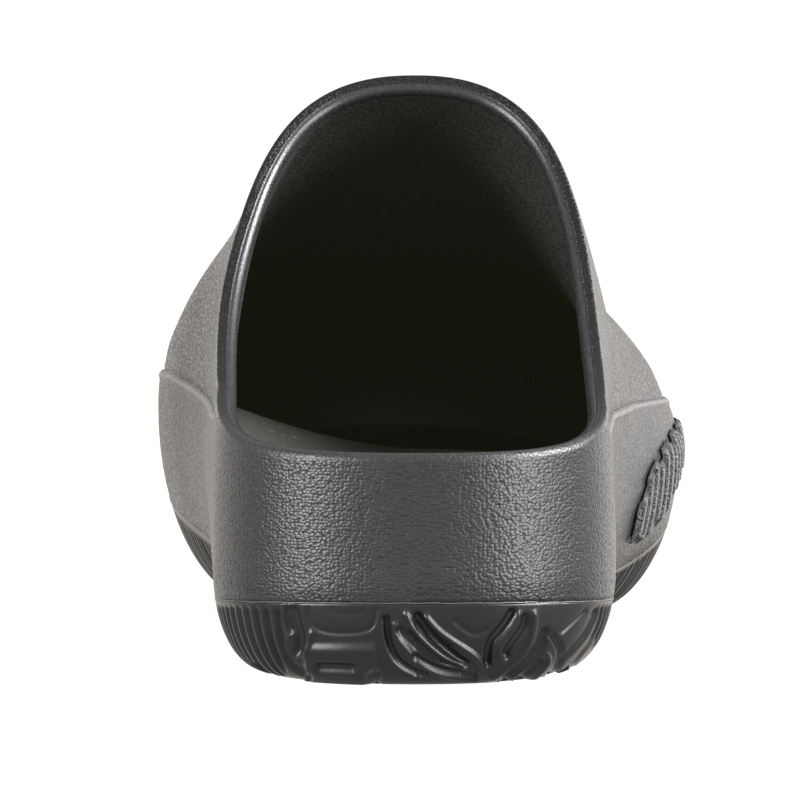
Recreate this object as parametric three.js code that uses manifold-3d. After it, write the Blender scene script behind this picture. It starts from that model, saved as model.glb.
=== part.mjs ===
// A slip-on clog for the right foot, moulded in foam. Sizes are millimetres and +Z is up.
// The form is worked out with Y from the heel to the toe and X towards the outer side of the foot.
// At the end the whole shoe is moved so that its box stands centred on the origin.
import * as THREE from "three";
import { mergeVertices } from "three/addons/utils/BufferGeometryUtils.js";
import Module from "manifold-3d";

const wasm = await Module();
wasm.setup();

// Driving sizes
const shoeLength = 297;
const heelWidth = 86;
const ballWidth = 118;
const vampHeight = 122.7;
const heelRimHeight = 49.7;
const girthHeight = 38; // ground to the widest line of the forefoot
const seamHeight = 18.2; // ground to the top of the sole, behind the heel
const wallThickness = 4.5;
const fitGap = 0.3;
const edgeGap = 0.7; // between the curved edges of the bed and the wall around it

// Rounding of the plan and of the edges
const heelReach = 44;
const toeReach = 100;
const heelPower = 2.25;
const toePower = 2.1;
const toeRise = 42; // length over which the toe's top rounds down
const soleTuck = 18; // how far the side draws in from its widest line to the ground
const heelTuck = 8.5;
const toeTuck = 26;
const toeSpring = 14;
const toeSpringFrom = 0.7;
const heelLean = 6;
const crownPower = 2.35;
const archRise = 2.5;
const archFrom = 0.28;
const archTo = 0.56;

// Collar, ridge and bed
const collarReach = 131; // heel to the top of the collar
const collarPower = 2.15;
const ridgeStep = 0.9;
const ridgeFade = 8; // width of the soft trough above the ridge
const ridgeRun = 0.6; // from the ridge's edge to the foot of its step
const ridgeShoulder = 2.5;
const bedHeight = 31; // ground to the top of the insole at the heel
const insoleThickness = 4;
const bedDish = 1.6; // a low power lets the bed rise early towards its edges

// Ribs, lugs and the ribbed patch
const ribDepth = 1.1;
const reliefDepth = 1.3;
const reliefWidth = 2.7;
const channelDepth = 3;
const channelWidth = 4;
const patchHeight = 12;
const patchProud = 1.3;
const patchGap = 0.4;
const patchRibDepth = 0.55;

const lateral = 1;
const medial = -1;
const wallColumns = 84;
const bedColumns = 70;
const ribCount = 210;

// Half widths in plan: 0 is half the heel width and 1 is half the ball width.
// Axis is a share of the ball width.
const planTable = [
  { at: 0.0, lateral: 0.0, medial: 0.02, axis: 0.0 },
  { at: 0.15, lateral: 0.0, medial: 0.04, axis: 0.0 },
  { at: 0.25, lateral: 0.01, medial: 0.11, axis: 0.0 },
  { at: 0.35, lateral: 0.05, medial: 0.19, axis: 0.0 },
  { at: 0.44, lateral: 0.13, medial: 0.27, axis: -0.001 },
  { at: 0.52, lateral: 0.53, medial: 0.5, axis: -0.01 },
  { at: 0.6, lateral: 0.96, medial: 0.8, axis: -0.022 },
  { at: 0.68, lateral: 1.09, medial: 1.01, axis: -0.031 },
  { at: 0.76, lateral: 1.02, medial: 1.08, axis: -0.038 },
  { at: 0.86, lateral: 0.8, medial: 0.98, axis: -0.05 },
  { at: 1.0, lateral: 0.5, medial: 0.75, axis: -0.065 },
];

// Heights of the sections: crown as a share of the vamp height, widest lines as shares of the girth height.
const heightTable = [
  { at: 0.0, crown: 1.15, girthLateral: 0.58, girthMedial: 0.54 },
  { at: 0.15, crown: 1.145, girthLateral: 0.58, girthMedial: 0.54 },
  { at: 0.25, crown: 1.13, girthLateral: 0.64, girthMedial: 0.68 },
  { at: 0.35, crown: 1.09, girthLateral: 0.75, girthMedial: 0.88 },
  { at: 0.44, crown: 1.0, girthLateral: 0.86, girthMedial: 0.98 },
  { at: 0.52, crown: 0.875, girthLateral: 0.9, girthMedial: 1.05 },
  { at: 0.6, crown: 0.755, girthLateral: 0.91, girthMedial: 1.1 },
  { at: 0.68, crown: 0.66, girthLateral: 0.91, girthMedial: 1.12 },
  { at: 0.76, crown: 0.59, girthLateral: 0.9, girthMedial: 1.1 },
  { at: 0.86, crown: 0.53, girthLateral: 0.89, girthMedial: 1.0 },
  { at: 1.0, crown: 0.475, girthLateral: 0.88, girthMedial: 0.88 },
];

// Roundness of the sections: tuck as a share of the sole's tuck, and the power of the curve over
// the foot.
const roundTable = [
  { at: 0.0, tuckLateral: 0.64, tuckMedial: 0.6, fullLateral: 2.0, fullMedial: 2.7 },
  { at: 0.15, tuckLateral: 0.64, tuckMedial: 0.6, fullLateral: 1.95, fullMedial: 2.8 },
  { at: 0.25, tuckLateral: 0.66, tuckMedial: 0.75, fullLateral: 1.95, fullMedial: 2.75 },
  { at: 0.35, tuckLateral: 0.8, tuckMedial: 1.12, fullLateral: 2.1, fullMedial: 2.08 },
  { at: 0.44, tuckLateral: 0.95, tuckMedial: 1.33, fullLateral: 2.2, fullMedial: 2.22 },
  { at: 0.52, tuckLateral: 1.0, tuckMedial: 1.37, fullLateral: 1.25, fullMedial: 2.5 },
  { at: 0.6, tuckLateral: 1.0, tuckMedial: 1.35, fullLateral: 1.15, fullMedial: 2.95 },
  { at: 0.68, tuckLateral: 1.0, tuckMedial: 1.33, fullLateral: 1.6, fullMedial: 2.6 },
  { at: 0.76, tuckLateral: 1.0, tuckMedial: 1.3, fullLateral: 1.7, fullMedial: 2.5 },
  { at: 0.86, tuckLateral: 1.1, tuckMedial: 1.25, fullLateral: 1.75, fullMedial: 2.0 },
  { at: 1.0, tuckLateral: 1.2, tuckMedial: 1.2, fullLateral: 1.8, fullMedial: 1.8 },
];

// Lines round the shoe: the seam as a share of its height at the heel, the ridge as a share of
// the rim's height.
const lineTable = [
  { at: 0.0, seam: 1.0, ridgeLateral: 0.88, ridgeMedial: 0.88 },
  { at: 0.08, seam: 0.9, ridgeLateral: 0.95, ridgeMedial: 0.97 },
  { at: 0.15, seam: 0.82, ridgeLateral: 1.02, ridgeMedial: 1.075 },
  { at: 0.25, seam: 0.77, ridgeLateral: 0.995, ridgeMedial: 1.06 },
  { at: 0.35, seam: 0.78, ridgeLateral: 0.98, ridgeMedial: 1.045 },
  { at: 0.44, seam: 0.86, ridgeLateral: 0.97, ridgeMedial: 1.035 },
  { at: 0.52, seam: 0.98, ridgeLateral: 0.967, ridgeMedial: 1.05 },
  { at: 0.6, seam: 1.1, ridgeLateral: 0.95, ridgeMedial: 1.065 },
  { at: 0.68, seam: 1.2, ridgeLateral: 0.925, ridgeMedial: 1.05 },
  { at: 0.76, seam: 1.3, ridgeLateral: 0.9, ridgeMedial: 1.01 },
  { at: 0.86, seam: 1.45, ridgeLateral: 0.875, ridgeMedial: 0.94 },
  { at: 1.0, seam: 1.62, ridgeLateral: 0.845, ridgeMedial: 0.845 },
];

// The bed under the foot, as shares of its height at the heel.
const bedTable = [
  { at: 0.0, middle: 1.06, edgeLateral: 1.28, edgeMedial: 1.28 },
  { at: 0.2, middle: 1.08, edgeLateral: 1.24, edgeMedial: 1.34 },
  { at: 0.32, middle: 1.2, edgeLateral: 1.24, edgeMedial: 1.52 },
  { at: 0.42, middle: 1.3, edgeLateral: 1.22, edgeMedial: 1.62 },
  { at: 0.52, middle: 1.14, edgeLateral: 1.1, edgeMedial: 1.4 },
  { at: 0.68, middle: 0.82, edgeLateral: 0.92, edgeMedial: 1.0 },
  { at: 0.85, middle: 0.8, edgeLateral: 0.94, edgeMedial: 0.96 },
  { at: 1.0, middle: 0.92, edgeLateral: 1.06, edgeMedial: 1.06 },
];

// Channels across the tread: where they cross the middle, and how far their ends lead or trail.
const channelTable = [
  { at: 0.1, sweep: -0.03 },
  { at: 0.17, sweep: -0.03 },
  { at: 0.24, sweep: -0.03 },
  { at: 0.58, sweep: 0.035 },
  { at: 0.64, sweep: 0.035 },
  { at: 0.7, sweep: 0.035 },
  { at: 0.76, sweep: 0.03 },
  { at: 0.82, sweep: 0.025 },
  { at: 0.88, sweep: 0.015 },
];

// Grooves in the back of the sole, as seen from behind: shares of half the heel width outwards
// from the middle, and of the seam height.
const heelGrooves = [
  [
    { out: -0.52, up: 0.83 },
    { out: -0.495, up: 0.66 },
    { out: -0.375, up: 0.6 },
    { out: -0.225, up: 0.63 },
    { out: -0.2, up: 0.83 },
  ],
  [
    { out: -0.14, up: 0.56 },
    { out: -0.07, up: 0.3 },
    { out: 0.03, up: 0.17 },
  ],
  [
    { out: -0.03, up: 0.76 },
    { out: 0.02, up: 0.54 },
    { out: 0.12, up: 0.36 },
    { out: 0.24, up: 0.22 },
  ],
  [
    { out: 0.475, up: 0.83 },
    { out: 0.41, up: 0.63 },
    { out: 0.36, up: 0.46 },
    { out: 0.35, up: 0.27 },
  ],
  [
    { out: 0.56, up: 0.8 },
    { out: 0.52, up: 0.6 },
    { out: 0.44, up: 0.36 },
  ],
];

// The ribbed patch on the outer side: its middle line and its height, as shares of the patch height.
const patchTable = [
  { at: 0.47, middle: 1.72, height: 0.55 },
  { at: 0.51, middle: 2.05, height: 0.9 },
  { at: 0.57, middle: 2.45, height: 1.0 },
  { at: 0.63, middle: 2.75, height: 1.0 },
  { at: 0.69, middle: 2.95, height: 0.9 },
  { at: 0.73, middle: 3.05, height: 0.55 },
];

// A smooth curve through one column of a table.
function readColumn(table, name, at) {
  const last = table.length - 1;
  const share = Math.min(Math.max(at, table[0].at), table[last].at);
  let row = 0;
  while (row < last - 1 && share > table[row + 1].at) row += 1;
  const slope = (i) => (table[i + 1][name] - table[i][name]) / (table[i + 1].at - table[i].at);
  const tangent = (i) => {
    if (i === 0) return slope(0);
    if (i === last) return slope(last - 1);
    const before = table[i].at - table[i - 1].at;
    const after = table[i + 1].at - table[i].at;
    return (slope(i - 1) * after + slope(i) * before) / (before + after);
  };
  const span = table[row + 1].at - table[row].at;
  const u = (share - table[row].at) / span;
  const start = table[row][name] * (2 * u ** 3 - 3 * u ** 2 + 1);
  const end = table[row + 1][name] * (3 * u ** 2 - 2 * u ** 3);
  const leave = tangent(row) * (u ** 3 - 2 * u ** 2 + u) * span;
  const arrive = tangent(row + 1) * (u ** 3 - u ** 2) * span;
  return start + end + leave + arrive;
}

const bySide = (table, name, at, side) =>
  readColumn(table, name + (side === lateral ? "Lateral" : "Medial"), at);

const mix = (a, b, share) => a + (b - a) * share;

// Rounds off an end: 0 at the end itself, 1 from the reach onwards.
function roundEnd(distance, reach, power) {
  const left = Math.min(Math.max(1 - distance / reach, 0), 1);
  return (1 - left ** power) ** (1 / power);
}

const endShare = (at) =>
  roundEnd(at * shoeLength, heelReach, heelPower) *
  roundEnd((1 - at) * shoeLength, toeReach, toePower);

const halfWidth = (at, side) =>
  mix(heelWidth / 2, ballWidth / 2, readColumn(planTable, side === lateral ? "lateral" : "medial", at));

const axisAt = (at) => ballWidth * readColumn(planTable, "axis", at);
const girthAt = (at, side) => girthHeight * bySide(heightTable, "girth", at, side);
const tuckAt = (at, side) => soleTuck * bySide(roundTable, "tuck", at, side);
const fullnessAt = (at, side) => bySide(roundTable, "full", at, side);

function crownHeight(y) {
  const at = y / shoeLength;
  const girth = (girthAt(at, lateral) + girthAt(at, medial)) / 2;
  const top = vampHeight * readColumn(heightTable, "crown", at);
  return girth + (top - girth) * roundEnd(shoeLength - y, toeRise, 2);
}

function bottomHeight(y) {
  const at = y / shoeLength;
  const spring = Math.min(Math.max((at - toeSpringFrom) / (1 - toeSpringFrom), 0), 1);
  const arch = Math.min(Math.max((at - archFrom) / (archTo - archFrom), 0), 1);
  return toeSpring * spring ** 2 + archRise * Math.sin(Math.PI * arch) ** 2;
}

// The place along Y where the crown comes down to a height.
function toeEnd(height) {
  let near = 0.2 * shoeLength;
  let far = shoeLength;
  for (let step = 0; step < 26; step += 1) {
    const y = (near + far) / 2;
    if (crownHeight(y) > height) near = y;
    else far = y;
  }
  return (near + far) / 2;
}

const sideOf = (angle) => (Math.sin(angle) >= 0 ? lateral : medial);
const alongShare = (angle) => (1 - Math.cos(angle)) / 2;

// The form over the widest line. Level 0 is that line and level 1 the vamp height; the angle runs
// from 0 at the heel by the outer side to the toe and back.
function upperPoint(angle, level) {
  const side = sideOf(angle);
  const along = alongShare(angle);
  const girth = girthAt(along, side);
  const height = girth + level * (vampHeight - girth);
  const toeGirth = girthAt(1, lateral);
  const heel = heelLean * Math.min(level * 2, 1);
  const toe = toeEnd(toeGirth + level * (vampHeight - toeGirth));
  const y = heel + (toe - heel) * along;
  const at = y / shoeLength;
  const localGirth = girthAt(at, side);
  const rise = Math.min(Math.max((height - localGirth) / (crownHeight(y) - localGirth), 0), 1);
  const arc = (1 - rise ** fullnessAt(at, side)) ** (1 / crownPower);
  const axis = axisAt(at);
  const ends = endShare((y - heel * (1 - along)) / shoeLength);
  const x = axis + (side * halfWidth(at, side) - axis) * ends * arc;
  return new THREE.Vector3(x, y, height);
}

// The form under the widest line. Drop 0 is that line and drop 1 the edge of the tread.
function lowerPoint(angle, drop) {
  const side = sideOf(angle);
  const along = alongShare(angle);
  const turn = (drop * Math.PI) / 2;
  const inward = 1 - Math.cos(turn);
  const heel = heelTuck * inward;
  const toe = shoeLength - toeTuck * inward;
  const y = heel + (toe - heel) * along;
  const axis = axisAt(along);
  const half = halfWidth(along, side);
  const tucked = 1 - (tuckAt(along, side) / half) * inward;
  const x = axis + (side * half - axis) * endShare(along) * tucked;
  const girth = girthAt(along, side);
  return new THREE.Vector3(x, y, girth - Math.sin(turn) * (girth - bottomHeight(y)));
}

const formPoint = (angle, level) => (level < 0 ? lowerPoint(angle, -level) : upperPoint(angle, level));

// The outward normal of the form, from small steps round it and up it.
function formNormal(angle, level) {
  const turn = 2e-3;
  const climb = 1e-3;
  const round = formPoint(angle + turn, level).sub(formPoint(angle - turn, level));
  const up = formPoint(angle, level + climb).sub(formPoint(angle, Math.max(level - climb, -1)));
  return round.cross(up).normalize();
}

const insetPoint = (angle, level, depth) =>
  formPoint(angle, level).addScaledVector(formNormal(angle, level), -depth);

// The level, between two others, where a test stops being true.
function levelWhere(low, high, stillBelow) {
  let a = low;
  let b = high;
  for (let step = 0; step < 26; step += 1) {
    const middle = (a + b) / 2;
    if (stillBelow(middle)) a = middle;
    else b = middle;
  }
  return (a + b) / 2;
}

// Moves a level by a distance along the surface.
function levelMoved(angle, level, distance) {
  const climb = 0.01;
  const reach = formPoint(angle, level + climb).distanceTo(formPoint(angle, level - climb));
  return level + (distance * 2 * climb) / reach;
}

function seamLevel(angle) {
  const height = seamHeight * readColumn(lineTable, "seam", alongShare(angle));
  return levelWhere(-0.95, 0.5, (level) => formPoint(angle, level).z < height);
}

function collarHeightAt(y) {
  const low = heelRimHeight - wallThickness / 2;
  return low + (crownHeight(collarReach) - low) * Math.max(y / collarReach, 0) ** collarPower;
}

function collarLevel(angle) {
  return levelWhere(0, 1.05, (level) => {
    const point = formPoint(angle, level);
    return point.z < collarHeightAt(point.y);
  });
}

function ridgeLevel(angle) {
  const side = sideOf(angle);
  const along = alongShare(angle);
  const girth = girthAt(along, side);
  const height = heelRimHeight * bySide(lineTable, "ridge", along, side);
  const level = (height - girth) / (vampHeight - girth);
  return Math.min(level, levelMoved(angle, collarLevel(angle), -ridgeShoulder));
}

// Angles that divide the plan outline into equal lengths, alike on both sides.
function evenAngles(count) {
  const samples = 2000;
  const lengths = [0];
  const meanPoint = (angle) => {
    const along = alongShare(angle);
    const half = (halfWidth(along, lateral) + halfWidth(along, medial)) / 2;
    return new THREE.Vector2(half * endShare(along), along * shoeLength);
  };
  for (let i = 1; i <= samples; i += 1) {
    const before = meanPoint((Math.PI * (i - 1)) / samples);
    const here = meanPoint((Math.PI * i) / samples);
    lengths.push(lengths[i - 1] + here.distanceTo(before));
  }
  const half = count / 2;
  const angles = [];
  let i = 0;
  for (let n = 0; n < half; n += 1) {
    const wanted = (lengths[samples] * n) / half;
    while (lengths[i + 1] < wanted) i += 1;
    const share = (wanted - lengths[i]) / (lengths[i + 1] - lengths[i]);
    angles.push((Math.PI * (i + share)) / samples);
  }
  angles.push(Math.PI);
  for (let n = half - 1; n > 0; n -= 1) angles.push(2 * Math.PI - angles[n]);
  return angles;
}

const wallAngles = evenAngles(wallColumns);
const bedAngles = evenAngles(bedColumns);
const ribAngles = evenAngles(ribCount * 2);

// Triangles between two rings of points. A ring may have a whole number of times the other's points.
function bandBetween(lower, upper) {
  const faces = [];
  const count = Math.min(lower.length, upper.length);
  const lowStep = lower.length / count;
  const highStep = upper.length / count;
  const low = (i) => lower[i % lower.length];
  const high = (i) => upper[i % upper.length];
  for (let n = 0; n < count; n += 1) {
    const a = n * lowStep;
    const b = n * highStep;
    const lowHalf = Math.ceil(lowStep / 2);
    const highHalf = Math.ceil(highStep / 2);
    for (let i = 0; i < lowHalf; i += 1) faces.push(low(a + i), low(a + i + 1), high(b));
    for (let i = 0; i < highHalf; i += 1) faces.push(low(a + lowHalf), high(b + i + 1), high(b + i));
    for (let i = lowHalf; i < lowStep; i += 1) faces.push(low(a + i), low(a + i + 1), high(b + highHalf));
    for (let i = highHalf; i < highStep; i += 1) {
      faces.push(low(a + lowStep), high(b + i + 1), high(b + i));
    }
  }
  return faces;
}

// A manifold solid from triangles given as a flat list of points.
function solidFromFaces(faces) {
  const geometry = new THREE.BufferGeometry().setFromPoints(faces);
  const merged = mergeVertices(geometry, 1e-4);
  const index = merged.index.array;
  const kept = [];
  for (let i = 0; i < index.length; i += 3) {
    const [a, b, c] = [index[i], index[i + 1], index[i + 2]];
    if (a !== b && b !== c && c !== a) kept.push(a, b, c);
  }
  return new wasm.Manifold(
    new wasm.Mesh({
      numProp: 3,
      vertProperties: merged.attributes.position.array,
      triVerts: new Uint32Array(kept),
    }),
  );
}

// A solid whose skin is a run of rings. Where closed, the last ring joins the first.
function solidFromRings(rings, closed) {
  const faces = [];
  for (let i = 0; i + 1 < rings.length; i += 1) faces.push(...bandBetween(rings[i], rings[i + 1]));
  if (closed) faces.push(...bandBetween(rings[rings.length - 1], rings[0]));
  return solidFromFaces(faces);
}

// A solid whose sections are closed outlines in a row, with a flat cap at each end.
function solidFromSections(sections) {
  const faces = [];
  const last = sections.length - 1;
  const sides = sections[0].length;
  for (let i = 0; i < last; i += 1) {
    for (let k = 0; k < sides; k += 1) {
      const next = (k + 1) % sides;
      faces.push(sections[i][k], sections[i + 1][k], sections[i + 1][next]);
      faces.push(sections[i][k], sections[i + 1][next], sections[i][next]);
    }
  }
  for (let k = 1; k + 1 < sides; k += 1) {
    faces.push(sections[0][0], sections[0][k], sections[0][k + 1]);
    faces.push(sections[last][0], sections[last][k + 1], sections[last][k]);
  }
  return solidFromFaces(faces);
}

function geometryOf(solid) {
  const mesh = solid.getMesh();
  const geometry = new THREE.BufferGeometry();
  geometry.setAttribute("position", new THREE.BufferAttribute(mesh.vertProperties, 3));
  geometry.setIndex(new THREE.BufferAttribute(mesh.triVerts, 1));
  return geometry.toNonIndexed();
}

// How far the ridge's step sinks the outer surface, at a distance above the ridge.
function stepDepth(angle, distance) {
  const strength = THREE.MathUtils.smoothstep(alongShare(angle), 0.09, 0.16);
  if (distance < 0) return 0;
  return strength * ridgeStep * (1 - THREE.MathUtils.smoothstep(distance, 0, ridgeFade));
}

function upperSolid() {
  const marks = wallAngles.map((angle) => {
    const seam = seamLevel(angle);
    const widest = Math.max(seam + 0.02, 0);
    return { angle, seam, widest, ridge: ridgeLevel(angle), collar: collarLevel(angle) };
  });
  const ringAt = (place) => marks.map((mark) => place(mark));
  const rings = [];
  for (const share of [0, 0.5]) {
    rings.push(ringAt((m) => formPoint(m.angle, mix(m.seam, m.widest, share))));
  }
  for (const share of [0, 0.3, 0.6]) {
    rings.push(ringAt((m) => formPoint(m.angle, mix(m.widest, m.ridge, share))));
  }
  const foot = (m) => levelMoved(m.angle, m.ridge, ridgeRun);
  rings.push(ringAt((m) => formPoint(m.angle, levelMoved(m.angle, m.ridge, -ridgeShoulder))));
  rings.push(ringAt((m) => insetPoint(m.angle, m.ridge, stepDepth(m.angle, 0) / 4)));
  rings.push(ringAt((m) => insetPoint(m.angle, foot(m), stepDepth(m.angle, 0))));
  for (const share of [0.08, 0.18, 0.28, 0.38, 0.5, 0.64, 0.82, 1]) {
    rings.push(
      ringAt((m) => {
        const level = mix(foot(m), m.collar, share);
        const rise = formPoint(m.angle, level).distanceTo(formPoint(m.angle, m.ridge));
        return insetPoint(m.angle, level, stepDepth(m.angle, rise));
      }),
    );
  }
  const edge = marks.map((m) => formPoint(m.angle, m.collar));
  for (const turn of [45, 90, 135]) {
    rings.push(
      marks.map((m, i) => {
        const normal = formNormal(m.angle, m.collar);
        const next = edge[(i + 1) % edge.length];
        const before = edge[(i + edge.length - 1) % edge.length];
        const away = normal.clone().cross(next.clone().sub(before)).normalize();
        const radius = wallThickness / 2;
        const swing = THREE.MathUtils.degToRad(turn);
        return edge[i]
          .clone()
          .addScaledVector(normal, radius * (Math.cos(swing) - 1))
          .addScaledVector(away, radius * Math.sin(swing));
      }),
    );
  }
  for (const share of [1, 0.75, 0.5, 0.3, 0.12, 0]) {
    rings.push(ringAt((m) => insetPoint(m.angle, mix(m.seam, m.collar, share), wallThickness)));
  }
  return solidFromRings(rings, true);
}

// The line along the middle of the shoe that the rings of the tread and the bed draw in to.
function spinePoint(angle, height) {
  const y = Math.min(Math.max(alongShare(angle) * shoeLength, heelReach), shoeLength - toeReach * 0.7);
  return new THREE.Vector3(axisAt(y / shoeLength), y, height(y));
}

const bedMiddle = (y) => bedHeight * readColumn(bedTable, "middle", y / shoeLength);

// The edge of the bed, a clearance inside the wall of the upper.
function bedEdge(angle, sunk) {
  const side = sideOf(angle);
  const height = bedHeight * bySide(bedTable, "edge", alongShare(angle), side) - sunk;
  const depth = wallThickness + edgeGap;
  const level = levelWhere(-0.6, 0.6, (l) => insetPoint(angle, l, depth).z < height);
  return { level, point: insetPoint(angle, level, depth) };
}

// A ring of the bed, at a share of the way from the middle line to the edge.
function bedRing(share, sunk, below = 0) {
  return bedAngles.map((angle) => {
    const edge = bedEdge(angle, sunk).point;
    const middle = spinePoint(angle, () => 0);
    const point = middle.lerp(edge, share);
    const lift = edge.z + sunk - bedMiddle(edge.y);
    point.z = bedMiddle(point.y) + lift * share ** bedDish - sunk - below;
    return point;
  });
}

function insoleSolid() {
  const rings = [];
  for (const share of [0, 0.65, 1]) rings.push(bedRing(share, insoleThickness));
  for (const share of [1, 0.75, 0.45, 0]) rings.push(bedRing(share, 0));
  return solidFromRings(rings, false);
}

// Ribs run all the way round but for the middle of the heel.
function ribShare(angle, level) {
  if (alongShare(angle) > 0.25) return 1;
  const out = Math.abs(formPoint(angle, level).x) / (heelWidth / 2);
  return THREE.MathUtils.smoothstep(out, 0.6, 0.72);
}

// A ring round the side of the sole. Every second point is the bottom of a groove between two ribs.
function ribRing(levelAt, depthShare) {
  return ribAngles.map((angle, i) => {
    const level = levelAt(angle);
    const depth = i % 2 === 1 ? ribDepth * depthShare * ribShare(angle, level) : 0;
    return insetPoint(angle, level, depth);
  });
}

// The spot on the back of the sole that is seen at a place out from the middle and up from the ground.
function heelSpot(out, up) {
  const side = out < 0 ? medial : lateral;
  const height = seamHeight * up;
  const levelOn = (angle) => levelWhere(-1, 0.3, (level) => formPoint(angle, level).z < height);
  const turn = levelWhere(0, 1.4, (a) => {
    const angle = side * a;
    return formPoint(angle, levelOn(angle)).x * side < (heelWidth / 2) * out * side;
  });
  const angle = side * turn;
  const level = levelOn(angle);
  return { point: formPoint(angle, level), normal: formNormal(angle, level) };
}

// A cutter that runs along a groove in the back of the sole.
function grooveCutter(groove) {
  const spots = groove.map(({ out, up }) => heelSpot(out, up));
  const last = spots.length - 1;
  const sections = spots.map(({ point, normal }, i) => {
    const along = spots[Math.min(i + 1, last)].point.clone().sub(spots[Math.max(i - 1, 0)].point);
    const across = normal.clone().cross(along).normalize();
    const corner = (width, rise) =>
      point
        .clone()
        .addScaledVector(across, (reliefWidth / 2) * width)
        .addScaledVector(normal, rise);
    const mouth = [corner(-1, reliefDepth), corner(1, reliefDepth)];
    return [...mouth, corner(0.6, -reliefDepth), corner(-0.6, -reliefDepth)];
  });
  return solidFromSections(sections);
}

// Blocks that cut the channels across the tread.
function channelCutters() {
  const height = toeSpring + channelDepth;
  return channelTable.map((channel) => {
    const reach = ballWidth * 0.6;
    const steps = 8;
    const line = (offset) =>
      Array.from({ length: steps + 1 }, (_, i) => {
        const x = reach * ((2 * i) / steps - 1);
        const bend = Math.cos((Math.PI * i) / steps) ** 2;
        return new THREE.Vector2(x, shoeLength * (channel.at + channel.sweep * bend) + offset);
      });
    const outline = [...line(-channelWidth / 2), ...line(channelWidth / 2).reverse()];
    const geometry = new THREE.ExtrudeGeometry(new THREE.Shape(outline), {
      depth: height,
      bevelEnabled: false,
    });
    geometry.deleteAttribute("normal");
    geometry.deleteAttribute("uv");
    const roof = bottomHeight(shoeLength * channel.at) + channelDepth;
    geometry.translate(0, 0, roof - height);
    const merged = mergeVertices(geometry, 1e-4);
    return new wasm.Manifold(
      new wasm.Mesh({
        numProp: 3,
        vertProperties: merged.attributes.position.array,
        triVerts: new Uint32Array(merged.index.array),
      }),
    );
  });
}

function soleSolid() {
  const under = (share) =>
    bedAngles.map((angle) => {
      const point = spinePoint(angle, () => 0).lerp(formPoint(angle, -1), share);
      point.z = bottomHeight(point.y);
      return point;
    });
  const top = (angle) => levelMoved(angle, seamLevel(angle), -fitGap);
  const innerDepth = wallThickness + edgeGap;
  const rings = [under(0), under(0.5), under(0.93)];
  rings.push(ribRing(() => -1, 0));
  rings.push(ribRing((angle) => mix(-1, top(angle), 0.3), 1));
  rings.push(ribRing((angle) => mix(-1, top(angle), 0.7), 1));
  rings.push(ribRing(top, 0));
  for (const share of [0, 0.5]) {
    const level = (angle) => mix(top(angle), bedEdge(angle, insoleThickness).level, share);
    rings.push(bedAngles.map((angle) => insetPoint(angle, level(angle), innerDepth)));
  }
  for (const share of [1, 0.65, 0]) rings.push(bedRing(share, insoleThickness, edgeGap));
  const cutters = [...channelCutters(), ...heelGrooves.map(grooveCutter)];
  return cutters.reduce((sole, cutter) => sole.subtract(cutter), solidFromRings(rings, false));
}

// The ribbed patch stands a little proud of the outer side of the upper.
function patchSolid() {
  const steps = 30;
  const last = patchTable.length - 1;
  const skins = [];
  for (let i = 0; i <= steps; i += 1) {
    const at = mix(patchTable[0].at, patchTable[last].at, i / steps);
    const angle = Math.acos(1 - 2 * at);
    const middle = patchHeight * readColumn(patchTable, "middle", at);
    const half = (patchHeight * readColumn(patchTable, "height", at)) / 2;
    const proud = patchProud - (i % 2 === 1 ? patchRibDepth : 0);
    const skin = [-1, -0.8, -0.27, 0.27, 0.8, 1].map((row) => {
      const height = middle + half * row;
      const level = levelWhere(-0.9, 0.5, (l) => formPoint(angle, l).z < height);
      const outside = Math.abs(row) === 1 ? patchProud * 0.55 : proud;
      return { out: insetPoint(angle, level, -outside), back: insetPoint(angle, level, -patchGap) };
    });
    skins.push([...skin.map((s) => s.out), ...skin.map((s) => s.back).reverse()]);
  }
  return solidFromSections(skins);
}

const foam = (colour, roughness) =>
  new THREE.MeshStandardMaterial({ color: colour, roughness, metalness: 0 });

function namedMesh(name, solid, material) {
  const mesh = new THREE.Mesh(geometryOf(solid), material);
  mesh.name = name;
  return mesh;
}

const clog = new THREE.Group();
clog.add(namedMesh("upper", upperSolid(), foam(0x46444a, 0.5)));
clog.add(namedMesh("sole", soleSolid(), foam(0x3a3838, 0.42)));
clog.add(namedMesh("insole", insoleSolid(), foam(0x2c2b2c, 0.7)));
clog.add(namedMesh("side_patch", patchSolid(), foam(0x2f2e30, 0.4)));

const box = new THREE.Box3().setFromObject(clog);
clog.position.set(-(box.min.x + box.max.x) / 2, -(box.min.y + box.max.y) / 2, -box.min.z);

export default clog;
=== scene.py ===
import math

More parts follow.
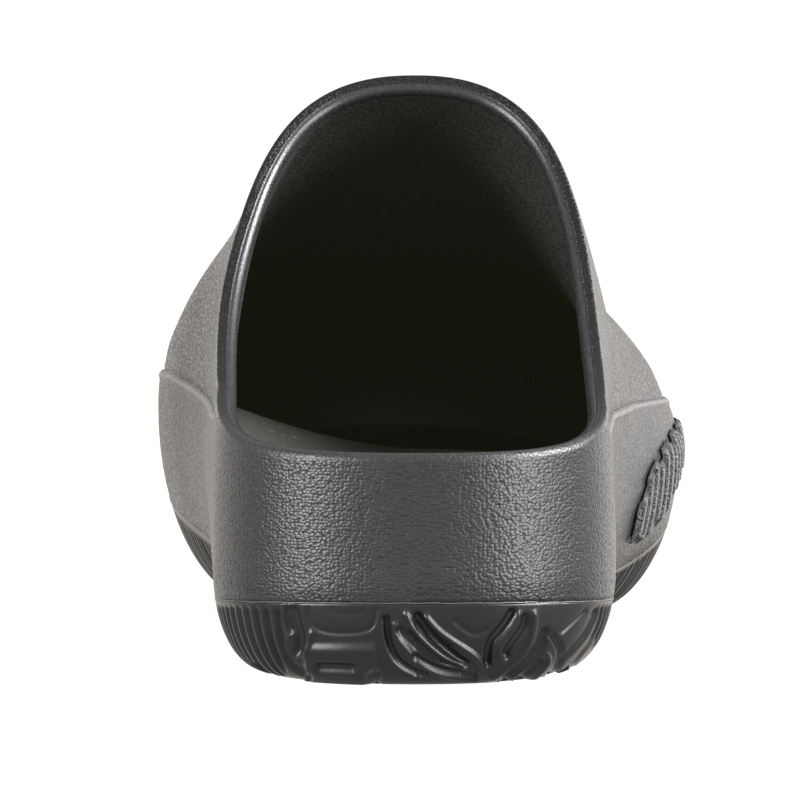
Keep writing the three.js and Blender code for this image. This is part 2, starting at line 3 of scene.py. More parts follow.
import bpy
import numpy as np
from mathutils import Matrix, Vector


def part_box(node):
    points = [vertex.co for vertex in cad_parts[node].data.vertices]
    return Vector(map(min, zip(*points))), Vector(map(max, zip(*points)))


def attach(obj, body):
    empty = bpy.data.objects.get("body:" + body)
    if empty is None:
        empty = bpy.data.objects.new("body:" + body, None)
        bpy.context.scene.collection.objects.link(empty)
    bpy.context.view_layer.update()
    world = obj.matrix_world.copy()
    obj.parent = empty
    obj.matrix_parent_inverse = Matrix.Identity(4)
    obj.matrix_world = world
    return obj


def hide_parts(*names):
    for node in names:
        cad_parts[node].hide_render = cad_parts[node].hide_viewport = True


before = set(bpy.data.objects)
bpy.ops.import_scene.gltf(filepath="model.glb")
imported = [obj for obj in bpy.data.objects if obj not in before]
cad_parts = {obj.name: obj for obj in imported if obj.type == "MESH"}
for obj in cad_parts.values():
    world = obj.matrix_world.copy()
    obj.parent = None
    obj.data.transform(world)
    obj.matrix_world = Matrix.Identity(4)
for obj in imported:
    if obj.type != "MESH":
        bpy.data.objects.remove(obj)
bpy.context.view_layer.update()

# Sizes of the form in millimetres, as in the part's source.
# Y runs from the heel to the toe, X to the outer side, Z up.
form = {
    "length": 297.0,
    "heelWidth": 86.0,
    "ballWidth": 118.0,
    "vampHeight": 122.7,
    "rimHeight": 49.7,
    "girthHeight": 38.0,
    "seamHeight": 18.2,
    "wall": 4.5,
    "fitGap": 0.3,
    "edgeGap": 0.7,
    "heelReach": 44.0,
    "toeReach": 100.0,
    "heelPower": 2.25,
    "toePower": 2.1,
    "toeRise": 42.0,
    "soleTuck": 18.0,
    "heelTuck": 8.5,
    "toeTuck": 26.0,
    "toeSpring": 14.0,
    "toeSpringFrom": 0.7,
    "heelLean": 6.0,
    "crownPower": 2.35,
    "archRise": 2.5,
    "archFrom": 0.28,
    "archTo": 0.56,
    "collarReach": 131.0,
    "collarPower": 2.15,
    "bedHeight": 31.0,
    "insole": 4.0,
    "bedDish": 1.6,
    "shoulder": 2.5,
    "spineShare": 0.7,
}


# How finely the form is worked out.
fineness = {
    "toeSteps": 20001,
    "toeShare": 0.8,
    "outlineSteps": 4001,
    "widestSteps": 2001,
    "halvings": 26,
    "turn": 2e-3,
    "climb": 1e-3,
    "moveClimb": 0.01,
}


# Each table runs along the shoe, from 0 at the heel to 1 at the toe.
def tableOf(names, rows):
    return {name: np.array([row[i] for row in rows]) for i, name in enumerate(names)}


# How far each side has gone from the heel's width to the ball's, and the place of the middle line.
planTable = tableOf(
    ("at", "reachLateral", "reachMedial", "axis"),
    [
        (0.0, 0.0, 0.02, 0.0),
        (0.15, 0.0, 0.04, 0.0),
        (0.25, 0.01, 0.11, 0.0),
        (0.35, 0.05, 0.19, 0.0),
        (0.44, 0.13, 0.27, -0.001),
        (0.52, 0.53, 0.5, -0.01),
        (0.6, 0.96, 0.8, -0.022),
        (0.68, 1.09, 1.01, -0.031),
        (0.76, 1.02, 1.08, -0.038),
        (0.86, 0.8, 0.98, -0.05),
        (1.0, 0.5, 0.75, -0.065),
    ],
)

# The crown as a share of the vamp's height, and the widest line as a share of the girth's height.
heightTable = tableOf(
    ("at", "crown", "girthLateral", "girthMedial"),
    [
        (0.0, 1.15, 0.58, 0.54),
        (0.15, 1.145, 0.58, 0.54),
        (0.25, 1.13, 0.64, 0.68),
        (0.35, 1.09, 0.75, 0.88),
        (0.44, 1.0, 0.86, 0.98),
        (0.52, 0.875, 0.9, 1.05),
        (0.6, 0.755, 0.91, 1.1),
        (0.68, 0.66, 0.91, 1.12),
        (0.76, 0.59, 0.9, 1.1),
        (0.86, 0.53, 0.89, 1.0),
        (1.0, 0.475, 0.88, 0.88),
    ],
)

# How far the sole tucks in below the widest line, and how full the side is above it.
roundTable = tableOf(
    ("at", "tuckLateral", "tuckMedial", "fullLateral", "fullMedial"),
    [
        (0.0, 0.64, 0.6, 2.0, 2.7),
        (0.15, 0.64, 0.6, 1.95, 2.8),
        (0.25, 0.66, 0.75, 1.95, 2.75),
        (0.35, 0.8, 1.12, 2.1, 2.08),
        (0.44, 0.95, 1.33, 2.2, 2.22),
        (0.52, 1.0, 1.37, 1.25, 2.5),
        (0.6, 1.0, 1.35, 1.15, 2.95),
        (0.68, 1.0, 1.33, 1.6, 2.6),
        (0.76, 1.0, 1.3, 1.7, 2.5),
        (0.86, 1.1, 1.25, 1.75, 2.0),
        (1.0, 1.2, 1.2, 1.8, 1.8),
    ],
)

# The parting line as a share of the seam's height, and the ridge as a share of the rim's.
lineTable = tableOf(
    ("at", "seamLateral", "seamMedial", "ridgeLateral", "ridgeMedial"),
    [
        (0.0, 1.0, 1.0, 0.88, 0.88),
        (0.08, 0.9, 0.9, 0.95, 0.97),
        (0.15, 0.82, 0.82, 1.02, 1.075),
        (0.25, 0.73, 0.77, 0.995, 1.06),
        (0.35, 0.63, 0.78, 0.98, 1.045),
        (0.44, 0.58, 0.86, 0.97, 1.035),
        (0.52, 0.62, 0.98, 0.967, 1.05),
        (0.6, 0.84, 1.1, 0.95, 1.065),
        (0.68, 1.02, 1.2, 0.925, 1.05),
        (0.76, 1.2, 1.3, 0.9, 1.01),
        (0.86, 1.42, 1.45, 0.875, 0.94),
        (1.0, 1.62, 1.62, 0.845, 0.845),
    ],
)

# The bed's middle and edges as shares of its height.
bedTable = tableOf(
    ("at", "middle", "edgeLateral", "edgeMedial"),
    [
        (0.0, 1.06, 1.28, 1.28),
        (0.2, 1.08, 1.24, 1.34),
        (0.32, 1.2, 1.24, 1.52),
        (0.42, 1.3, 1.22, 1.62),
        (0.52, 1.14, 1.1, 1.4),
        (0.68, 0.82, 0.92, 1.0),
        (0.85, 0.8, 0.94, 0.96),
        (1.0, 0.92, 1.06, 1.06),
    ],
)


# A smooth curve through one column of a table.
def readColumn(table, name, at):
    x, y = table["at"], table[name]
    span = np.diff(x)
    slope = np.diff(y) / span
    tangent = np.empty_like(y)
    tangent[0], tangent[-1] = slope[0], slope[-1]
    tangent[1:-1] = (slope[:-1] * span[1:] + slope[1:] * span[:-1]) / (span[:-1] + span[1:])
    at = np.clip(at, x[0], x[-1])
    row = np.clip(np.searchsorted(x, at, side="right") - 1, 0, len(span) - 1)
    u = (at - x[row]) / span[row]
    ends = y[row] * (2 * u**3 - 3 * u**2 + 1) + y[row + 1] * (3 * u**2 - 2 * u**3)
    leave = tangent[row] * (u**3 - 2 * u**2 + u)
    arrive = tangent[row + 1] * (u**3 - u**2)
    return ends + (leave + arrive) * span[row]


def bySide(table, name, at, side):
    outer, inner = (readColumn(table, name + word, at) for word in ("Lateral", "Medial"))
    return np.where(side > 0, outer, inner)


def smooth(value, low, high):
    u = np.clip((value - low) / (high - low), 0, 1)
    return u * u * (3 - 2 * u)


def mix(a, b, share):
    return a + (b - a) * share


def roundEnd(distance, reach, power):
    left = np.clip(1 - distance / reach, 0, 1)
    return (1 - left**power) ** (1 / power)


def endShare(at):
    heel = roundEnd(at * form["length"], form["heelReach"], form["heelPower"])
    toe = roundEnd((1 - at) * form["length"], form["toeReach"], form["toePower"])
    return heel * toe


def halfWidth(at, side):
    return mix(form["heelWidth"] / 2, form["ballWidth"] / 2, bySide(planTable, "reach", at, side))


def axisAt(at):
    return form["ballWidth"] * readColumn(planTable, "axis", at)


def girthAt(at, side):
    return form["girthHeight"] * bySide(heightTable, "girth", at, side)


def crownHeight(y):
    at = y / form["length"]
    girth = (girthAt(at, 1) + girthAt(at, -1)) / 2
    top = form["vampHeight"] * readColumn(heightTable, "crown", at)
    return girth + (top - girth) * roundEnd(form["length"] - y, form["toeRise"], 2)


def bottomHeight(y):
    at = y / form["length"]
    spring = np.clip((at - form["toeSpringFrom"]) / (1 - form["toeSpringFrom"]), 0, 1)
    arch = np.clip((at - form["archFrom"]) / (form["archTo"] - form["archFrom"]), 0, 1)
    return form["toeSpring"] * spring**2 + form["archRise"] * np.sin(np.pi * arch) ** 2


def halving(low, high, stillBelow):
    for _ in range(fineness["halvings"]):
        middle = (low + high) / 2
        below = stillBelow(middle)
        low = np.where(below, middle, low)
        high = np.where(below, high, middle)
    return (low + high) / 2


toeRun = np.linspace(1, 0, fineness["toeSteps"]) ** 2
toeSteps = form["length"] * (1 - fineness["toeShare"] * toeRun)
toeCrowns = crownHeight(toeSteps)


# The place along Y where the crown comes down to a height.
def toeEnd(height):
    return np.interp(height, toeCrowns[::-1], toeSteps[::-1])


def sideOf(angle):
    return np.where(np.sin(angle) >= 0, 1, -1)


def alongShare(angle):
    return (1 - np.cos(angle)) / 2


# A point above the widest line. The angle runs round the shoe from the heel. Level is 0 at the
# widest line and 1 at the top of the crown.
def upperPoint(angle, level):
    side, along = sideOf(angle), alongShare(angle)
    girth = girthAt(along, side)
    height = girth + level * (form["vampHeight"] - girth)
    toeGirth = girthAt(1.0, 1)
    heel = form["heelLean"] * np.minimum(level * 2, 1)
    toe = toeEnd(toeGirth + level * (form["vampHeight"] - toeGirth))
    y = heel + (toe - heel) * along
    at = y / form["length"]
    local = girthAt(at, side)
    rise = np.clip((height - local) / np.maximum(crownHeight(y) - local, 1e-6), 0, 1)
    arc = (1 - rise ** bySide(roundTable, "full", at, side)) ** (1 / form["crownPower"])
    ends = endShare((y - heel * (1 - along)) / form["length"])
    x = axisAt(at) + (side * halfWidth(at, side) - axisAt(at)) * ends * arc
    return np.stack([x, y, height], -1)


# A point below the widest line, where drop runs from 0 there to 1 on the ground.
def lowerPoint(angle, drop):
    side, along = sideOf(angle), alongShare(angle)
    turn = drop * np.pi / 2
    inward = 1 - np.cos(turn)
    heel = form["heelTuck"] * inward
    toe = form["length"] - form["toeTuck"] * inward
    y = heel + (toe - heel) * along
    half = halfWidth(along, side)
    tuck = form["soleTuck"] * bySide(roundTable, "tuck", along, side)
    x = axisAt(along) + (side * half - axisAt(along)) * endShare(along) * (1 - tuck / half * inward)
    girth = girthAt(along, side)
    return np.stack([x, y, girth - np.sin(turn) * (girth - bottomHeight(y))], -1)


def formPoint(angle, level):
    angle, level = np.broadcast_arrays(angle, level)
    high = upperPoint(angle, np.maximum(level, 0))
    low = lowerPoint(angle, np.clip(-level, 0, 1))
    return np.where((level < 0)[..., None], low, high)


def unit(vectors):
    return vectors / np.maximum(np.linalg.norm(vectors, axis=-1, keepdims=True), 1e-12)


def formNormal(angle, level):
    turn, climb = fineness["turn"], fineness["climb"]
    across = formPoint(angle + turn, level) - formPoint(angle - turn, level)
    up = formPoint(angle, level + climb) - formPoint(angle, np.maximum(level - climb, -1))
    return unit(np.cross(across, up))


def insetPoint(angle, level, depth):
    return formPoint(angle, level) - formNormal(angle, level) * np.asarray(depth)[..., None]


def levelMoved(angle, level, distance):
    climb = fineness["moveClimb"]
    span = formPoint(angle, level + climb) - formPoint(angle, level - climb)
    reach = np.linalg.norm(span, axis=-1)
    return level + distance * 2 * climb / reach


def constant(angle, value):
    return np.full(np.shape(angle), value)


def levelAt(angle, height, low, high):
    def below(level):
        return formPoint(angle, level)[..., 2] < height

    return halving(constant(angle, low), constant(angle, high), below)


def seamLevel(angle):
    height = form["seamHeight"] * bySide(lineTable, "seam", alongShare(angle), sideOf(angle))
    return levelAt(angle, height, -0.95, 0.5)


def collarHeightAt(y):
    low = form["rimHeight"] - form["wall"] / 2
    top = crownHeight(np.array(form["collarReach"]))
    return low + (top - low) * np.maximum(y / form["collarReach"], 0) ** form["collarPower"]


def collarLevel(angle):
    def below(level):
        point = formPoint(angle, level)
        return point[..., 2] < collarHeightAt(point[..., 1])

    return halving(constant(angle, 0.0), constant(angle, 1.05), below)


def ridgeLevel(angle):
    side, along = sideOf(angle), alongShare(angle)
    girth = girthAt(along, side)
    height = form["rimHeight"] * bySide(lineTable, "ridge", along, side)
    level = (height - girth) / (form["vampHeight"] - girth)
    return np.minimum(level, levelMoved(angle, collarLevel(angle), -form["shoulder"]))


# Distance round the shoe against angle, alike on both sides.
def outlineLengths():
    angle = np.linspace(0, np.pi, fineness["outlineSteps"])
    along = alongShare(angle)
    half = (halfWidth(along, 1) + halfWidth(along, -1)) / 2 * endShare(along)
    steps = np.hypot(np.diff(half), np.diff(along * form["length"]))
    return angle, np.concatenate([[0], np.cumsum(steps)])


outlineAngle, outlineLength = outlineLengths()
outlineHalf = outlineLength[-1]


def angleAt(place):
    folded = np.where(place <= outlineHalf, place, 2 * outlineHalf - place)
    angle = np.interp(folded, outlineLength, outlineAngle)
    return np.where(place <= outlineHalf, angle, 2 * np.pi - angle)


# The form's own place in the CAD frame, found from the upper's inner side.
innerHalf = np.linspace(np.pi, 2 * np.pi, fineness["widestSteps"])
widest = formPoint(innerHalf, np.zeros(innerHalf.shape))
offset = np.array([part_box("upper")[0].x * 1000 - widest[:, 0].min(), -form["length"] / 2, 0.0])


def toMetres(points):
    return (points + offset) * 0.001


def addObject(name, data):
    added = bpy.data.objects.new(name, data)
    bpy.context.scene.collection.objects.link(added)
    return added


def meshFrom(name, points, faces, values=None):
    mesh = bpy.data.meshes.new(name)
    mesh.from_pydata(toMetres(points.reshape(-1, 3)), [], faces.tolist())
    for key, value in (values or {}).items():
        layer = mesh.attributes.new(key, "FLOAT", "POINT")
        flat = np.ascontiguousarray(value.reshape(-1), dtype=np.float32)
        layer.data.foreach_set("value", flat)
    mesh.update()
    return addObject(name, mesh)


# Quads between rings that each go once round the shoe.
# A closed run joins its last ring to its first.
def ringFaces(rings, columns, closed):
    ring = np.arange(rings if closed else rings - 1)[:, None]
    column = np.arange(columns)[None, :]
    here, above = ring * columns, (ring + 1) % rings * columns
    after = (column + 1) % columns
    quads = [here + column, here + after, above + after, above + column]
    return np.stack(np.broadcast_arrays(*quads), -1).reshape(-1, 4)


def settle(piece, node=None, material=None):
    if material:
        piece.data.materials.append(material)
    piece.data.polygons.foreach_set("use_smooth", np.ones(len(piece.data.polygons), bool))
    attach(piece, "root")
    if node:
        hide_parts(node)
    print(piece.name, len(piece.data.polygons), "faces")


# One socket's value. Sums of values make Math nodes.
class Value:
    def __init__(self, tree, socket):
        self.tree = tree
        self.socket = socket

    def apply(self, operation, first, second):
        settings = {"operation": operation}
        return self.tree.value("ShaderNodeMath", settings, {0: first, 1: second})

    def __add__(self, other):
        return self.apply("ADD", self, other)

    def __radd__(self, other):
        return self.apply("ADD", other, self)

    def __sub__(self, other):
        return self.apply("SUBTRACT", self, other)

    def __rsub__(self, other):
        return self.apply("SUBTRACT", other, self)

    def __mul__(self, other):
        return self.apply("MULTIPLY", self, other)

    def __rmul__(self, other):
        return self.apply("MULTIPLY", other, self)

    def smooth(self, low, high):
        settings = {"interpolation_type": "SMOOTHSTEP"}
        inputs = {"Value": self, "From Min": low, "From Max": high}
        return self.tree.value("ShaderNodeMapRange", settings, inputs)


class Tree:
    def __init__(self, nodes):
        self.nodes = nodes

    def node(self, kind, settings=None, inputs=None):
        node = self.nodes.nodes.new(kind)
        for key, setting in (settings or {}).items():
            setattr(node, key, setting)
        for key, entry in (inputs or {}).items():
            if isinstance(entry, Value):
                self.nodes.links.new(entry.socket, node.inputs[key])
            else:
                node.inputs[key].default_value = entry
        return node

    def value(self, kind, settings=None, inputs=None, output=0):
        return Value(self, self.node(kind, settings, inputs).outputs[output])


# What every foam finish shares: scales per metre, and how far patterns are stretched.
foamLook = {
    "drawn": (1.0, 0.2, 1.0),
    "patchScale": 60.0,
    "mottleScale": 35.0,
    "mottleDetail": 3.0,
    "grey": 0.5,
    "grainEdge": (0.35, 0.65),
    "ior": 1.5,
}


# Moulded foam. The grain is drawn out along the shoe, so that it looks even on the receding sides.
class Foam:
    def __init__(self, name, settings):
        self.settings = settings
        self.material = bpy.data.materials.new(name)
        self.material.use_nodes = True
        self.material.node_tree.nodes.clear()
        self.tree = Tree(self.material.node_tree)
        self.place = self.tree.value("ShaderNodeTexCoord", None, None, "Object")
        self.stipple = self.noise(settings["grainScale"], 2.0, self.scaled(foamLook["drawn"]))
        patches = self.noise(foamLook["patchScale"]) - foamLook["grey"]
        mottle = self.noise(foamLook["mottleScale"], foamLook["mottleDetail"]) - foamLook["grey"]
        self.roughness = settings["roughness"] + patches * settings["patchiness"]
        self.shade = 1.0 + mottle * settings["mottle"]
        self.height = self.stipple * settings["grainHeight"]

    def attribute(self, word):
        return self.tree.value("ShaderNodeAttribute", {"attribute_name": word}, None, "Fac")

    def noise(self, scale, detail=2.0, vector=None, output=0):
        inputs = {"Vector": vector or self.place, "Scale": scale, "Detail": detail}
        return self.tree.value("ShaderNodeTexNoise", None, inputs, output)

    def scaled(self, share):
        settings = {"operation": "MULTIPLY"}
        return self.tree.value("ShaderNodeVectorMath", settings, {0: self.place, 1: share})

    # Pebbled cells on the heel wall, fine stipple on the vamp, and a smooth rim, with painted shade
    # in the cells' valleys and on the rim's outer band and a painted highlight on the lip.
    def addLeather(self):
        s = self.settings
        wander = self.noise(s["wanderScale"], 2.0, None, "Color")
        moved = self.tree.value(
            "ShaderNodeVectorMath",
            {"operation": "MULTIPLY_ADD"},
            {0: wander, 1: s["wander"], 2: self.scaled(s["cellDrawn"])},
        )
        cells = self.tree.value(
            "ShaderNodeTexVoronoi",
            {"feature": "F1"},
            {"Vector": moved, "Scale": s["cellScale"], "Randomness": s["cellRandomness"]},
        )
        leather, lip, rim = (self.attribute(word) for word in ("leather", "lip", "rim"))
        band, self.inside = self.attribute("band"), self.attribute("inside")
        plain = 1.0 - leather
        stippled = (1.0 - leather * s["cellCalm"]) * (1.0 - rim * s["rimCalm"])
        domes = (1.0 - cells * cells * s["cellDepth"]) * leather * s["leather"]
        self.height = domes + self.stipple * stippled * s["grainHeight"]
        valley = cells.smooth(*s["valley"]) * leather
        grain = (self.stipple.smooth(*foamLook["grainEdge"]) - foamLook["grey"]) * plain
        self.roughness = self.roughness + plain * s["plainRough"] - rim * s["rimGloss"]
        self.roughness = self.roughness - band * s["bandGloss"] + self.inside * s["insideRough"]
        self.roughness = self.roughness + grain * (1.0 - rim) * s["glitter"]
        self.roughness = self.roughness + valley * s["valleyRough"]
        # Painted shade: the valleys between the grain's cells are darker; the speckle is the
        # grain's own tone.
        self.shade = self.shade * (1.0 - valley * s["valleyPaintedShade"]) * (1.0 + grain * s["speckle"])
        # A painted highlight lightens the lip below the ridge.
        # Painted shade darkens the rim's outer band.
        self.shade = self.shade * (1.0 - band * s["bandPaintedShade"]) * (1.0 + lip * s["lipPaintedHighlight"])

    # Painted shade: the base colour is near black between the patch's ribs, where it is also
    # rougher.
    def addGapShade(self):
        gap = 1.0 - self.attribute("crest")
        self.shade = self.shade * (1.0 - gap * self.settings["gapPaintedShade"])
        self.roughness = self.roughness + gap * self.settings["gapRough"]

    # Pale specks that lie in drifts.
    def addDust(self):
        s = self.settings
        specks = self.noise(s["speckScale"]).smooth(*s["specks"])
        drifts = self.noise(s["driftScale"]).smooth(*s["drifts"])
        self.shade = self.shade + specks * drifts * s["dust"]

    # A faint glow inside the shoe stands in for the camera's stray light.
    def haze(self, share=None):
        glow = (*self.settings["haze"], 1.0)
        if share:
            red, green, blue = (share * part for part in self.settings["haze"])
            glow = self.tree.value("ShaderNodeCombineColor", None, {0: red, 1: green, 2: blue})
        return {"Emission Color": glow, "Emission Strength": 1.0}

    def finish(self, extra=None):
        s, tree = self.settings, self.tree
        shades = {0: self.shade, 1: self.shade, 2: self.shade}
        grey = tree.value("ShaderNodeCombineColor", None, shades)
        colour = tree.value(
            "ShaderNodeMix",
            {"data_type": "RGBA", "blend_type": "MULTIPLY"},
            {0: 1.0, 6: (*s["colour"], 1.0), 7: grey},
            2,
        )
        bump = {"Strength": 1.0, "Distance": s["bumpDistance"], "Height": self.height}
        sockets = {
            "Base Color": colour,
            "Roughness": self.roughness,
            "Normal": tree.value("ShaderNodeBump", None, bump),
            "IOR": foamLook["ior"],
            "Specular IOR Level": s["specular"],
            **(extra or {}),
        }
        surface = tree.value("ShaderNodeBsdfPrincipled", None, sockets)
        tree.node("ShaderNodeOutputMaterial", None, {"Surface": surface})
        return self.material


# The upper: one shell from the seam up over the ridge, round the rim and down its inside.
upperShell = {
    "columns": 620,
    "lowRows": 5,
    "sideRows": 20,
    "vampRows": 58,
    "insideRows": 34,
    "seamGap": 0.02,
    "step": 0.6,
    "stepFrom": 0.5,
    "stepBelow": 0.3,
    "stepBelowFade": 0.6,
    "edgeFade": 0.2,
    "fade": 11.0,
    "crease": 0.15,
    "creaseAt": (0.5, 0.35),
    "lip": 0.4,
    "lipAt": (1.2, 0.7),
    # A painted highlight that lightens the base colour on the lip, and where it lies.
    "lipPaintedHighlight": 5.0,
    "lipHighlightAt": (0.9, 0.55),
    "ridgeFrom": (0.09, 0.16),
    "ridgeFades": (2.7, 6.5),
    "grainFades": (0.2, 0.75),
    "toeGrain": 0.25,
    "vampFrom": (0.08, 0.2),
    "vampGrain": 0.3,
    "rimGrain": 0.6,
    "rimPower": 2.2,
    "outerSwings": (5, 78, 14),
    "edgeSwings": (82, 84.5, 87, 89.5, 92, 96, 101),
    "innerSwings": (108, 174, 9),
    "innerFrom": (84, 92),
    "bandFrom": (0.06, 0.16),
    "bandSwings": (5, 25),
    "bandPower": 7.0,
    "bead": 0.15,
    "beadAt": (86, 2.4),
    "beadGroove": 0.6,
    "beadGrooveAt": (94, 4),
    "grainScale": 2300.0,
    "grainHeight": 1.3,
    "leather": 0.88,
    "valley": (0.4, 0.75),
    # Painted shade in the valleys between the grain's cells.
    "valleyPaintedShade": 0.6,
    "valleyRough": 0.12,
    "plainRough": 0.08,
    "rimGloss": 0.08,
    "bandGloss": 0.14,
    "insideRough": 0.15,
    "glitter": 0.3,
    "cellScale": 1130.0,
    "cellDrawn": (1.0, 1.0, 1.3),
    "cellRandomness": 0.75,
    "cellDepth": 1.6,
    "cellCalm": 0.75,
    "rimCalm": 0.65,
    "wanderScale": 500.0,
    "wander": (0.0008, 0.0008, 0.0006),
    "speckle": 0.65,
    # Painted shade on the rim's outer band.
    "bandPaintedShade": 0.8,
    "haze": (0.0062, 0.0062, 0.0032),
    "bumpDistance": 0.00011,
    "roughness": 0.345,
    "patchiness": 0.05,
    "mottle": 0.15,
    "specular": 0.5,
    "colour": (0.020, 0.0193, 0.020),
}


def bell(value, middle, width):
    return np.exp(-(((value - middle) / width) ** 2))


# How deep the surface lies near the ridge, by its distance above the ridge.
def ridgeDepth(distance, strength):
    s = upperShell
    above = s["step"] * (1 - smooth(distance, 0, s["fade"])) * smooth(distance, 0.0, s["stepFrom"])
    above = above + s["crease"] * bell(distance, *s["creaseAt"])
    above = above + s["stepBelow"] * s["step"] * np.exp(-distance / s["edgeFade"])
    below = s["stepBelow"] * s["step"] * (1 - smooth(-distance, 0, s["stepBelowFade"]))
    below = below - s["lip"] * bell(-distance, *s["lipAt"])
    return strength * np.where(distance >= 0, above, below)


# The rim's section at one swing, from its outer side over the top to its inner side.
def rimReach(radius, swing, flat):
    s = upperShell
    across, out = math.cos(math.radians(swing)), math.sin(math.radians(swing))
    power = s["rimPower"] + (s["bandPower"] - s["rimPower"]) * flat * (swing < 90)
    reach = radius * (abs(across) ** power + out**power) ** (-1 / power)
    bead = bell(swing, *s["beadAt"]) - s["beadGroove"] * bell(swing, *s["beadGrooveAt"])
    reach = reach + flat * s["bead"] * bead
    return reach * across, reach * out


def buildUpper():
    s = upperShell
    angle = angleAt(np.arange(s["columns"]) * 2 * outlineHalf / s["columns"])
    along = alongShare(angle)
    seam, ridge, collar = seamLevel(angle), ridgeLevel(angle), collarLevel(angle)
    middle = np.maximum(seam + s["seamGap"], 0)
    edgeOfRidge, edge = formPoint(angle, ridge), formPoint(angle, collar)
    room = np.linalg.norm(edge - edgeOfRidge, axis=-1)
    strength = smooth(along, *s["ridgeFrom"]) * smooth(room, *s["ridgeFades"])
    rings = []
    rows = {word: [] for word in ("leather", "lip", "rim", "band", "inside")}

    def add(points, **words):
        rings.append(points)
        for word, entries in rows.items():
            entries.append(np.broadcast_to(words.get(word, 0.0), angle.shape))

    def ridgeDistance(level):
        return np.linalg.norm(formPoint(angle, level) - edgeOfRidge, axis=-1)

    grain = mix(1, s["toeGrain"], smooth(along, *s["grainFades"]))
    for share in np.linspace(0, 1, s["lowRows"], endpoint=False):
        add(formPoint(angle, mix(seam, middle, share)), leather=grain)
    for share in 1 - np.linspace(1, 0, s["sideRows"], endpoint=False) ** 2:
        level = mix(middle, ridge, share)
        distance = -ridgeDistance(level)
        # Where the painted highlight on the lip lies.
        lip = strength * bell(-distance, *s["lipHighlightAt"])
        add(insetPoint(angle, level, ridgeDepth(distance, strength)), leather=grain, lip=lip)
    grain = mix(grain, s["vampGrain"] * grain, smooth(along, *s["vampFrom"]))
    for share in np.linspace(0, 1, s["vampRows"]) ** 2:
        level = mix(ridge, collar, share)
        sunk = ridgeDepth(ridgeDistance(level), strength)
        add(insetPoint(angle, level, sunk), leather=grain)
    sunk = ridgeDepth(room, strength)
    normal = formNormal(angle, collar)
    away = unit(np.cross(normal, np.roll(edge, -1, 0) - np.roll(edge, 1, 0)))
    middle = edge - normal * ((form["wall"] + sunk) / 2)[:, None]
    flat = smooth(along, *s["bandFrom"])
    swings = [np.linspace(*s["outerSwings"]), s["edgeSwings"], np.linspace(*s["innerSwings"])]
    for swing in np.concatenate(swings):
        across, out = rimReach((form["wall"] - sunk) / 2, swing, flat)
        inner = float(smooth(swing, *s["innerFrom"]))
        # The rim's outer band, which the material darkens with painted shade and makes glossier.
        band = flat * (1 - inner) * smooth(swing, *s["bandSwings"])
        point = middle + normal * across[:, None] + away * out[:, None]
        add(point, leather=grain * s["rimGrain"] * (1 - inner), rim=inner, band=band)
    for share in np.linspace(1, 0, s["insideRows"]):
        depth = constant(angle, form["wall"])
        add(insetPoint(angle, mix(seam, collar, share), depth), inside=1.0)
    values = {word: np.array(entries) for word, entries in rows.items()}
    faces = ringFaces(len(rings), len(angle), True)
    piece = meshFrom("upperShell", np.array(rings), faces, values)
    foam = Foam("foamUpper", s)
    foam.addLeather()
    settle(piece, "upper", foam.finish(foam.haze(foam.inside)))


buildUpper()

# The sole: ribs round its sides, relief at the back of the heel, and channels across the tread.
soleBody = {
    "ribs": 210,
    "ribDepth": 1.15,
    "pitches": ((0.0, 42.0, 0.3), (42.0, 120.0, 0.65), (120.0, None, 0.9)),
    "ribSharpness": 1.7,
    "ribsRight": (37.5, 39.5),
    "ribsLeft": (27.0, 29.5),
    "ribsFront": (0.2, 0.25),
    "ribFoot": (0.45, 0.14),
    "ribTop": (0.9, 0.985),
    "groundShares": (0, 0.25, 0.5, 0.7, 0.84, 0.92, 0.96, 0.985),
    "groundRibsFrom": 0.93,
    "sideRows": 70,
    "wallShares": (0, 0.5),
    "bedShares": (1, 0.65, 0),
    "reliefEdge": (0.2, 1.4),
    "reliefFades": (30.0, 42.0),
    "reliefTop": (0.95, 1.0),
    "ledge": 0.9,
    "ledgeLeft": (-24.0, -22.6),
    "ledgeRight": (-9.4, -8.0),
    "ledgeTop": (8.0, 10.2),
    "channelDepth": 3.0,
    "channelWidth": 4.0,
    "channelEdge": 0.3,
    "channelReach": 0.6,
    "grainScale": 1500.0,
    "grainHeight": 0.2,
    "bumpDistance": 0.00012,
    "roughness": 0.34,
    "patchiness": 0.08,
    "mottle": 0.2,
    "specular": 0.5,
    "colour": (0.0115, 0.0105, 0.0100),
}

# Where each channel crosses the middle of the tread, and how far its ends sweep on.
channelTable = [
    (0.1, -0.03),
    (0.17, -0.03),
    (0.24, -0.03),
    (0.58, 0.035),
    (0.64, 0.035),
    (0.7, 0.035),
    (0.76, 0.03),
    (0.82, 0.025),
    (0.88, 0.015),
]

